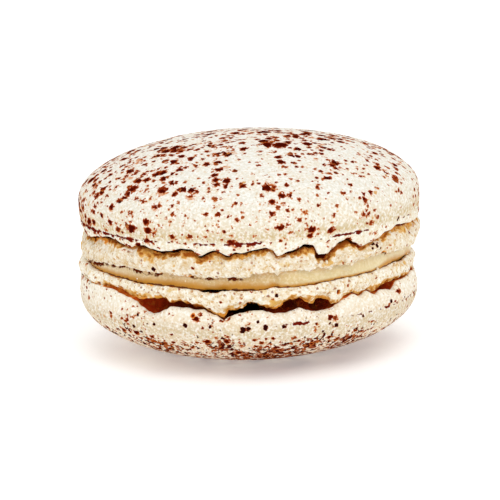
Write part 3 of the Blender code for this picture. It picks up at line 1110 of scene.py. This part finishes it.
def specks(nodes, under, layer, dust, wider):
    """Ragged specks over a colour, some with a paler tail below them. `wider` multiplies the radii."""
    soft = layer.soft
    presence = nodes.math("MULTIPLY_ADD", dust, layer.share, layer.start)
    flat = nodes.scaled(nodes.place, SPECK_STRETCH)
    above = nodes.moved(flat, (0, 0, 0.5 * layer.most))
    inside, shown, _, chance = speck_field(nodes, above, layer, presence, wider)
    some = nodes.step(chance, *TAIL_CHANCE, 0, TAIL_SHARE)
    tail = nodes.product(nodes.step(inside, 0, 2 * soft), shown, some)
    tailed = nodes.mix(tail, under, COCOA_TAIL)
    inside, shown, radius, chance = speck_field(nodes, flat, layer, presence, wider)
    body = nodes.product(nodes.step(inside, -0.5 * soft, 0.5 * soft), shown)
    mottled = nodes.math("MULTIPLY_ADD", nodes.wander(CRUMBLE_SIZE, 3, -1, 1), -0.4 * soft, inside)
    core = nodes.ramp(nodes.step(mottled, -0.1 * soft, 2 * soft, kind="LINEAR"), COCOA_STOPS)
    pale = nodes.product(nodes.step(chance, *PALE_CHANCE), nodes.step(radius, *PALE_RADII, 0, PALE_SHARE))
    return nodes.mix(body, tailed, nodes.mix(pale, core, COCOA_PALE))


# Flecks: their stretch, and the noise's limit without dust and how it falls with dust
FLECK_STRETCH = (1, 0.6, 0.8)
FLECK_LIMIT = 0.74
FLECK_FALL = -0.2
FLECK_EDGE = (-0.01, 0.05)


def pepper(nodes, under, size, presence, colour):
    """Ragged flecks where a fine noise passes a limit that falls as presence rises."""
    limit = nodes.math("MULTIPLY_ADD", presence, FLECK_FALL, FLECK_LIMIT)
    fine = nodes.noise(size, 3, nodes.scaled(nodes.place, FLECK_STRETCH))
    return nodes.mix(nodes.step(nodes.math("SUBTRACT", fine, limit), *FLECK_EDGE), under, colour)


# Patches of noise: its size in millimetres, its detail, the values between which the colour comes in,
# and the colour's largest share
SKIN_CLOUD_NOISE = (2.2, 4, 0.45, 0.75, 0.35)
SKIN_GRAIN_NOISE = (0.34, 2, 0.4, 0.68, 0.6)
SKIN_PIT_NOISE = (0.4, 3, 0.46, 0.3, 0.5)
FOOT_TAN_NOISE = (1.1, 3, 0.35, 0.7, 1)
FOOT_GRAIN_NOISE = (0.3, 2, 0.42, 0.66, 0.75)
FOOT_PIT_NOISE = (0.42, 3, 0.45, 0.3, 0.85)
FOOT_BUTTER_NOISE = (1.9, 1.5, 0.66, 0.74, 0.6)
CREAM_CLOUD_NOISE = (1.8, 3, 0.35, 0.7, 0.35)
CREAM_GRAIN_NOISE = (0.32, 2, 0.42, 0.68, 0.4)
CRUMB_TAN_NOISE = (0.35, 3, 0.35, 0.7, 1)


def patches(nodes, under, noise_values, colour):
    """A colour over another where a noise is high, or low."""
    size, detail, low, high, share = noise_values
    return nodes.mix(nodes.step(nodes.noise(size, detail), low, high, 0, share), under, colour)


# Faint dots: cell size, and in order the radii of their edge, the chances over which they come, and
# their largest share
SKIN_DOT_CELL = 0.5
SKIN_DOT_EDGE = (0.2, 0.05)
SKIN_DOT_CHANCE = (0.6, 0.65, 0, 0.6)
FOOT_DOT_CELL = 0.7
FOOT_DOT_EDGE = (0.26, 0.08)
FOOT_DOT_CHANCE = (0.5, 0.52, 0, 0.85)
# How much painted shade the foot's creases get, how ragged the golden patches are, and where they come in
CREASE_SHADE_SHARE = 0.6
GOLD_RAGGED = 0.35
GOLD_EDGE = (0.25, 0.85, 0, 0.85)


def skin_colour(nodes, stops, low, high):
    """The skin by level, with painted shade where it curls under and faces down, mottled and grainy, with
    faint tan dots.
    """
    base = nodes.ramp(nodes.step(nodes.mark("level"), low, high, kind="LINEAR"), stops)
    cloudy = patches(nodes, base, SKIN_CLOUD_NOISE, SKIN_CLOUDS)
    grain = patches(nodes, cloudy, SKIN_GRAIN_NOISE, SKIN_GRAIN_WHITE)
    pits = patches(nodes, grain, SKIN_PIT_NOISE, SKIN_PITS)
    away, chance = nodes.cells(nodes.shifted(nodes.place, 7.3, 0.3, 0.2), SKIN_DOT_CELL)
    faint = nodes.product(nodes.step(away, *SKIN_DOT_EDGE), nodes.step(chance[0], *SKIN_DOT_CHANCE))
    return nodes.mix(faint, pits, SKIN_DOTS)


def foot_colour(nodes, pale, tan, white):
    """The foot: crumbly cream, painted shade in its creases, a few golden patches that are partly painted
    shade, and brown dots.
    """
    base = patches(nodes, linear(*pale), FOOT_TAN_NOISE, linear(*tan))
    grain = patches(nodes, base, FOOT_GRAIN_NOISE, linear(*white))
    pits = patches(nodes, grain, FOOT_PIT_NOISE, FOOT_PITS)
    crease_shaded = nodes.mix(nodes.product(nodes.mark("crease_shade"), CREASE_SHADE_SHARE), pits, FOOT_CREASE_SHADE)
    away, chance = nodes.cells(nodes.shifted(nodes.place, 3.1, 0.3, 0.3), FOOT_DOT_CELL)
    brown = nodes.product(nodes.step(away, *FOOT_DOT_EDGE), nodes.step(chance[0], *FOOT_DOT_CHANCE))
    dotted = nodes.mix(brown, crease_shaded, nodes.ramp(chance[1], FOOT_DOT_STOPS))
    ragged = nodes.math("ADD", nodes.mark("gold"), nodes.wander(0.6, 3, -GOLD_RAGGED, GOLD_RAGGED))
    gold_and_shade = nodes.mix(nodes.step(ragged, *GOLD_EDGE), dotted, FOOT_GOLD)
    return patches(nodes, gold_and_shade, FOOT_BUTTER_NOISE, FOOT_BUTTER)


# The cocoa in the incised line: how it wanders, its width, and how dashes grow with the mark
LINE_WANDER = 0.4
LINE_ROUGH = 0.07
LEAST_LINE_WIDTH = 0.05
MOST_LINE_WIDTHS = (0.18, 0.34)
LINE_EDGE = 0.05
DASHES_FALL = -0.42
DASH_START = -0.02
DOT_RAGGED = 0.14
DOT_RIM = (0.36, 0.44)
DOT_INSIDE = (0.46, 0.56)


def dash_mask(nodes, size, limit, high):
    """Where noise breaks a line into dashes, longer ones as the mark `dashes` rises."""
    falling = nodes.math("MULTIPLY_ADD", nodes.mark("dashes"), DASHES_FALL, limit)
    return nodes.step(nodes.math("SUBTRACT", nodes.noise(size, 2), falling), DASH_START, high)


def rim_dashes(nodes, under, line):
    """Cocoa caught in the incised line above the rim, in dashes, and the dots that stand out."""
    skin = nodes.math("SUBTRACT", 1.0, nodes.mark("foot"))
    wobble = nodes.math("MULTIPLY_ADD", nodes.noise(3.0, 2), LINE_WANDER, line - LINE_WANDER / 2)
    off = nodes.math("ABSOLUTE", nodes.math("SUBTRACT", nodes.mark("level"), wobble))
    off = nodes.math("ADD", off, nodes.wander(0.5, 3, -LINE_ROUGH, LINE_ROUGH))
    widest = nodes.step(nodes.mark("dashes"), 0.3, 1, *MOST_LINE_WIDTHS)
    width = nodes.step(nodes.noise(0.9, 2), 0.35, 0.65, LEAST_LINE_WIDTH, widest)
    band = nodes.step(nodes.math("SUBTRACT", off, width), LINE_EDGE, -LINE_EDGE)
    dash = dash_mask(nodes, 0.95, 0.72, 0.03)
    lined = nodes.mix(nodes.product(band, dash, skin), under, COCOA_LINE)
    dot = nodes.math("ADD", nodes.mark("dot"), nodes.wander(0.35, 2, -DOT_RAGGED, DOT_RAGGED))
    ringed = nodes.mix(nodes.step(dot, *DOT_RIM), lined, DOT_EDGE)
    return nodes.mix(nodes.step(dot, *DOT_INSIDE), ringed, DOT_CORE)


def ragged_mark(nodes, name, amount, over):
    """A mark with noise added to it, except where the mark is nearly 0."""
    mark = nodes.mark(name)
    noise = nodes.wander(0.7, 3, -amount, amount)
    return nodes.math("ADD", mark, nodes.product(noise, nodes.step(mark, 0, over)))


# Where browning, painted shade and painted black shadow come in, by the marks that say how strong they are
TOAST_AND_SHADE_COLOURS = (0.1, 1.0)
TOAST_AND_SHADE_COVERS = (0.05, 0.65)
HOLLOW_COVERS = (0.04, 0.25)
BLACK_PATCHES = (0.25, 0.8)
ALL_BLACK = (0.85, 1.0)
BLACK_BY_SHADE = (0.0, 0.9)
BLACK_BY_DEPTH = (0.1, 0.5)


def browned(nodes, under):
    """Toasted foot near the crevice with painted shade under the rim, and the crevice itself, caramel at
    its mouth and darkening inside as painted shade, down to painted black shadow.
    """
    toast_and_shade = ragged_mark(nodes, "toast_and_shade", 0.4, 0.25)
    toasted_and_shaded = nodes.ramp(nodes.step(toast_and_shade, *TOAST_AND_SHADE_COLOURS, kind="LINEAR"), TOAST_AND_SHADE_STOPS)
    warm = nodes.mix(nodes.step(toast_and_shade, *TOAST_AND_SHADE_COVERS), under, toasted_and_shaded)
    depth = ragged_mark(nodes, "hollow_shade", 0.28, 0.3)
    mottled = nodes.math("ADD", nodes.wander(1.3, 2, -0.5, 0.4), depth)
    black_shade_mark = nodes.mark("char")
    black = nodes.math("MAXIMUM", nodes.step(mottled, *BLACK_PATCHES), nodes.step(black_shade_mark, *ALL_BLACK))
    share = nodes.step(black_shade_mark, *BLACK_BY_SHADE, kind="LINEAR")
    black = nodes.product(black, share, nodes.step(depth, *BLACK_BY_DEPTH))
    inside = nodes.mix(black, nodes.ramp(depth, CARAMEL_AND_SHADE_STOPS), SHADOW_BLACK)
    return nodes.mix(nodes.step(depth, *HOLLOW_COVERS), warm, inside)


# The levels between which specks reach their full width, how patchy the dust is, how much lies on
# the foot, and the fine relief of the skin and what the foot adds to it, in millimetres
WIDER_LEVELS = (8, 13)
DUST_PATCHES = 0.3
DUST_ON_FOOT = 0.1
PORES = 0.02
FOOT_GRAIN = 0.05


def meringue(name, stops, foot, low, high, line, widest_specks, layers, flecks):
    """The finish of one shell. Flecks are (size, share of the dust, colour).

    Stops are the skin's colours, with painted shade, from level low to level high, and foot holds a pale,
    a tan and a white one. Line is the level of the incised line. Towards the tip of the dome the specks
    grow up to
    `widest_specks` times as wide.
    """
    nodes = Nodes(name)
    colour = nodes.mix(nodes.mark("foot"), skin_colour(nodes, stops, low, high), foot_colour(nodes, *foot))
    bare = nodes.step(nodes.mark("foot"), 0, 1, 1, DUST_ON_FOOT)
    patchy = nodes.wander(5.0, 2, -DUST_PATCHES, DUST_PATCHES)
    dust = nodes.product(nodes.math("ADD", nodes.mark("dust"), patchy), bare)
    for size, share, tint in flecks:
        colour = pepper(nodes, colour, size, nodes.product(dust, share), linear(*tint))
    wider = nodes.step(nodes.mark("level"), *WIDER_LEVELS, 1, widest_specks)
    for layer in layers:
        colour = specks(nodes, colour, layer, dust, wider)
    colour = browned(nodes, rim_dashes(nodes, colour, line))
    crumbly = nodes.product(nodes.wander(0.32, 4, 0, FOOT_GRAIN), nodes.mark("foot"))
    grain = nodes.math("ADD", nodes.wander(0.3, 3, 0, PORES), crumbly)
    nodes.finish(colour, nodes.wander(0.6, 2, 0.75, 0.95), grain)
    nodes.shader.inputs["Specular IOR Level"].default_value = 0
    return nodes.material


# The cream's look: how far the painted gold shade reaches up, in millimetres, where its painted shadow
# line, painted shadow dashes and glints come in, and how light passes through it
GOLD_SHADE_REACH = 1.7
LEAST_GOLD_SHADE_REACH = 0.25
GOLD_SHADE_FADES = (1.1, 0.3)
LOW_SHADOW_FADES = (0.06, -0.03, 0, 0.9)
SHADOW_BELOW_LIP = (0.62, 0.4)
GLINT_CELL = 0.9
GLINT_EDGE = (0.14, 0.07)
GLINT_CHANCE = (0.86, 0.88)
CREAM_GLOSS = 0.25
CREAM_SUBSURFACE = 0.06
CREAM_SCATTER = (1.0, 0.65, 0.3)
CREAM_SCATTER_SCALE = 0.8 * MM


def cream_colour(nodes):
    """Darker beige at the left and paler yellow at the right as painted shading, a little cloudy, with
    painted gold shade towards the lower lip and a painted shadow line along it.
    """
    split = nodes.tree.nodes.new("ShaderNodeSeparateXYZ")
    nodes.join(nodes.place, split.inputs[0])
    half = FACE_RADIUS / MM
    base = nodes.ramp(nodes.step(split.outputs[0], -half, half, kind="LINEAR"), CREAM_SHADED_STOPS)
    cloudy = patches(nodes, base, CREAM_CLOUD_NOISE, CREAM_CLOUDS)
    grainy = patches(nodes, cloudy, CREAM_GRAIN_NOISE, CREAM_GRAIN)
    above = nodes.mark("above")
    # Painted gold shade rising from the lower lip
    reach = nodes.math("MULTIPLY_ADD", nodes.mark("gold_and_shade"), GOLD_SHADE_REACH, LEAST_GOLD_SHADE_REACH)
    gold_and_shade = nodes.mix(nodes.step(nodes.math("DIVIDE", above, reach), *GOLD_SHADE_FADES), grainy, CREAM_GOLD_SHADE)
    # A painted shadow line along the lower lip
    ragged = nodes.math("SUBTRACT", above, nodes.wander(0.7, 2, 0, 0.22))
    return nodes.mix(nodes.step(ragged, *LOW_SHADOW_FADES), gold_and_shade, CREAM_LOW_SHADOW)


def cream_finish():
    """Satin cream with painted shadow dashes along the upper lip and a few painted glints."""
    nodes = Nodes("cream")
    # Painted shadow dashes on the cream just under the upper lip
    below = nodes.math("ADD", nodes.mark("below"), nodes.wander(0.5, 2, -0.15, 0.15))
    lip_shadow = nodes.product(nodes.step(below, *SHADOW_BELOW_LIP), dash_mask(nodes, 1.0, 0.74, 0.06))
    lip_shadowed = nodes.mix(lip_shadow, cream_colour(nodes), CREAM_LIP_SHADOW)
    away, chance = nodes.cells(nodes.place, GLINT_CELL)
    glint = nodes.product(nodes.step(away, *GLINT_EDGE), nodes.step(chance[0], *GLINT_CHANCE))
    colour = nodes.mix(glint, lip_shadowed, CREAM_GLINT)
    nodes.finish(colour, nodes.wander(0.9, 2, 0.34, 0.5), nodes.wander(0.8, 3, 0, 0.02))
    nodes.join(nodes.step(lip_shadow, 0, 0.5, CREAM_GLOSS, 0), nodes.shader.inputs["Specular IOR Level"])
    nodes.shader.inputs["Subsurface Weight"].default_value = CREAM_SUBSURFACE
    nodes.shader.inputs["Subsurface Radius"].default_value = CREAM_SCATTER
    nodes.shader.inputs["Subsurface Scale"].default_value = CREAM_SCATTER_SCALE
    return nodes.material


def crumb_finish():
    """Loose meringue crumbs, cream with tan flecks."""
    nodes = Nodes("crumbs")
    colour = patches(nodes, CRUMB_PALE, CRUMB_TAN_NOISE, CRUMB_TAN)
    nodes.finish(colour, nodes.wander(0.4, 2, 0.65, 0.85), nodes.wander(0.2, 3, 0, 0.05))
    return nodes.material


CRUMBS_PER_SHELL = 90
CRUMB_SEED = 12
CRUMB_RADIUS = (0.1 * MM, 0.3 * MM)
CRUMB_SUBDIVISIONS = 2
CRUMB_STRETCH = (0.7, 1.3)
CRUMB_LUMPS = 0.35
CRUMB_LUMPS_EACH = 1.7
CRUMB_RISES = 0.15
CRUMBS_END_AT_JOIN = 0.2
ROWS_BELOW_CREVICE = 7


def crumb(made, centre, radius, draw):
    """Adds one lumpy crumb to a bmesh."""
    stretch = Vector([draw.uniform(*CRUMB_STRETCH) for _ in range(3)])
    seed = draw.uniform(0, 100)
    for vertex in bmesh.ops.create_icosphere(made, subdivisions=CRUMB_SUBDIVISIONS, radius=1)["verts"]:
        lump = noise.noise(vertex.co * CRUMB_LUMPS_EACH + Vector((seed, seed, seed)))
        vertex.co = Vector(centre) + vertex.co * stretch * radius * (1 + CRUMB_LUMPS * lump)


def build_crumbs(shells, finish):
    """Small crumbs that sit half sunk in the feet."""
    draw = random.Random(CRUMB_SEED)
    made = bmesh.new()
    for shell, points, normals, rows in shells:
        for _ in range(CRUMBS_PER_SHELL):
            step = draw.randrange(STEPS)
            row = draw.randrange(rows.foot + ROWS_BELOW_CREVICE, rows.lips)
            radius = draw.uniform(*CRUMB_RADIUS)
            if between(shell.join, np.array((math.tau * step / STEPS,)))[0][0] > CRUMBS_END_AT_JOIN:
                continue
            middle = placed(shell, points[step, row] + normals[step, row] * radius * CRUMB_RISES)
            crumb(made, middle, radius, draw)
    mesh = bpy.data.meshes.new("crumbs")
    made.to_mesh(mesh)
    made.free()
    mesh.shade_smooth()
    piece = add_piece("crumbs", mesh, finish)
    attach(piece, "root")


KEY_AZIMUTH = math.radians(10)
KEY_ELEVATION = math.radians(52)
KEY_DISTANCE = 600 * MM
KEY_SIZE = 350 * MM
KEY_POWER = 0.8


def add_key_light():
    """A soft square light in front and above, a little to the right."""
    light = bpy.data.lights.new("key", "AREA")
    light.size = KEY_SIZE
    light.energy = KEY_POWER
    lamp = bpy.data.objects.new("key", light)
    across = math.cos(KEY_ELEVATION)
    towards = (across * math.sin(KEY_AZIMUTH), -across * math.cos(KEY_AZIMUTH), math.sin(KEY_ELEVATION))
    lamp.location = Vector(towards) * KEY_DISTANCE
    lamp.rotation_euler = Vector(towards).to_track_quat("Z", "Y").to_euler()
    bpy.context.scene.collection.objects.link(lamp)


CAMERA_ELEVATION = math.radians(12.2)
CAMERA_DISTANCE = 450 * MM
CAMERA_TARGET = Vector((0.05, 0, 12.74)) * MM
CAMERA_ROLL = math.radians(1.4)
CAMERA_LENS_MM = 245
CAMERA_SENSOR_MM = 36
CAMERA_CLIP = (10 * MM, 20)


def add_camera():
    """The camera at the photo's angle: in front, a little above, rolled slightly."""
    camera = bpy.data.cameras.new("camera")
    camera.lens = CAMERA_LENS_MM
    camera.sensor_width = CAMERA_SENSOR_MM
    camera.clip_start, camera.clip_end = CAMERA_CLIP
    holder = bpy.data.objects.new("camera", camera)
    back = Vector((0, -math.cos(CAMERA_ELEVATION), math.sin(CAMERA_ELEVATION)))
    holder.location = CAMERA_TARGET + back * CAMERA_DISTANCE
    look = (-back).to_track_quat("-Z", "Y").to_matrix()
    holder.rotation_euler = (look @ Matrix.Rotation(-CAMERA_ROLL, 3, "Z")).to_euler()
    bpy.context.scene.collection.objects.link(holder)
    bpy.context.scene.camera = holder


FLOOR_HALF = 3.0
FLOOR_GLOW = 0.25
FLOOR_ROUGHNESS = 0.9
FLOOR_GLOSS = 0.1
WORLD_STRENGTH = 0.95
WHITE = (1, 1, 1, 1)


def add_floor():
    """A plain pale floor that the macaron stands on."""
    mesh = bpy.data.meshes.new("floor")
    corners = [(x * FLOOR_HALF, y * FLOOR_HALF, 0) for x, y in ((-1, -1), (1, -1), (1, 1), (-1, 1))]
    mesh.from_pydata(corners, [], [(0, 1, 2, 3)])
    nodes = Nodes("floor")
    nodes.join(FLOOR_WHITE, nodes.shader.inputs["Base Color"])
    nodes.shader.inputs["Emission Color"].default_value = WHITE
    nodes.shader.inputs["Emission Strength"].default_value = FLOOR_GLOW
    nodes.shader.inputs["Roughness"].default_value = FLOOR_ROUGHNESS
    nodes.shader.inputs["Specular IOR Level"].default_value = FLOOR_GLOSS
    floor = add_piece("floor", mesh, nodes.material)


def add_world():
    """Even white studio light from all round."""
    world = bpy.data.worlds.new("studio")
    world.use_nodes = True
    background = world.node_tree.nodes["Background"]
    background.inputs["Color"].default_value = WHITE
    background.inputs["Strength"].default_value = WORLD_STRENGTH
    bpy.context.scene.world = world
    bpy.context.scene.view_settings.view_transform = "Standard"


upper_shell = Shell(
    name="upper_meringue",
    node="upper_shell",
    up=1,
    face_z=UPPER_FACE_Z,
    shift=SIDE_SHIFT,
    tilt=UPPER_TILT,
    radius=22.5 * MM,
    rim_tuck=0.6 * MM,
    foot_radius=21.8 * MM,
    widest=6.3 * MM,
    dome=7.6 * MM,
    flat_cut=0,
    crevice=with_back(UPPER_CREVICE, 3.1, 3.5, 7),
    lip=UPPER_LIP,
    join=UPPER_JOIN,
    char=UPPER_BLACK_SHADE,
    dashes=UPPER_DASHES,
    holes=UPPER_HOLES,
    gold=UPPER_GOLD,
    dots=UPPER_DOTS,
    rim_line=UPPER_RIM_LINE * MM,
    seed=3,
)
lower_shell = Shell(
    name="lower_meringue",
    node="lower_shell",
    up=-1,
    face_z=LOWER_FACE_Z,
    shift=-SIDE_SHIFT,
    tilt=0,
    radius=22.3 * MM,
    rim_tuck=1.0 * MM,
    foot_radius=21.6 * MM,
    widest=3.95 * MM,
    dome=8.4 * MM,
    flat_cut=0.6 * MM,
    crevice=with_back(LOWER_CREVICE, 1.5, 1.9, 19),
    lip=LOWER_LIP,
    join=LOWER_JOIN,
    char=LOWER_BLACK_SHADE,
    dashes=LOWER_DASHES,
    holes=LOWER_HOLES,
    gold=LOWER_GOLD,
    dots=LOWER_DOTS,
    rim_line=LOWER_RIM_LINE * MM,
    seed=8,
)

# Colours of the skin, from just above the rim to the tip of the dome, with painted shade: lighter where
# the skin faces up, darker where it curls under and faces down
UPPER_SKIN_AND_SHADE = [
    (0, (229, 222, 202)),
    (0.1, (226, 218, 195)),
    (0.17, (198, 177, 134)),
    (0.3, (219, 209, 187)),
    (0.6, (225, 221, 208)),
    (1, (228, 225, 214)),
]
LOWER_SKIN_AND_SHADE = [
    (0, (232, 223, 203)),
    (0.12, (226, 212, 188)),
    (0.25, (203, 184, 149)),
    (0.5, (219, 203, 174)),
    (1, (216, 190, 162)),
]
UPPER_FINISH = meringue(
    "upper_meringue",
    UPPER_SKIN_AND_SHADE,
    foot=((236, 228, 208), (220, 199, 160), (246, 243, 234)),
    low=3,
    high=13.5,
    line=UPPER_RIM_LINE,
    widest_specks=1.25,
    layers=[
        Layer(cell=0.55, least=0.05, most=0.16, share=0.3, start=0.05, soft=0.07, seed=37.1),
        Layer(cell=0.8, least=0.13, most=0.32, share=0.5, start=0.22, soft=0.11, seed=23.7),
        Layer(cell=1.15, least=0.24, most=0.62, share=1.05, start=-0.08, soft=0.15, seed=11.3),
        Layer(cell=1.9, least=0.4, most=0.85, share=1.4, start=-0.6, soft=0.18, seed=91.9),
    ],
    flecks=[(0.9, 0.4, (208, 160, 104))],
)
LOWER_FINISH = meringue(
    "lower_meringue",
    LOWER_SKIN_AND_SHADE,
    foot=((241, 235, 216), (231, 217, 188), (252, 251, 245)),
    low=2.5,
    high=11.5,
    line=LOWER_RIM_LINE,
    widest_specks=1,
    layers=[
        Layer(cell=0.5, least=0.06, most=0.17, share=0.9, start=0.05, soft=0.07, seed=77.7),
        Layer(cell=0.8, least=0.12, most=0.34, share=0.8, start=0.13, soft=0.1, seed=63.3),
        Layer(cell=1.3, least=0.25, most=0.55, share=0.7, start=0.08, soft=0.13, seed=29.9),
    ],
    flecks=[(0.75, 1.06, (146, 76, 48)), (0.55, 1.16, (72, 14, 8))],
)

add_camera()
upper = build_shell(upper_shell, dust_on_upper, UPPER_FINISH)
lower = build_shell(lower_shell, dust_on_lower, LOWER_FINISH)
build_cream(upper_shell, lower_shell, cream_finish())
build_crumbs([upper, lower], crumb_finish())
add_floor()
add_key_light()
add_world()
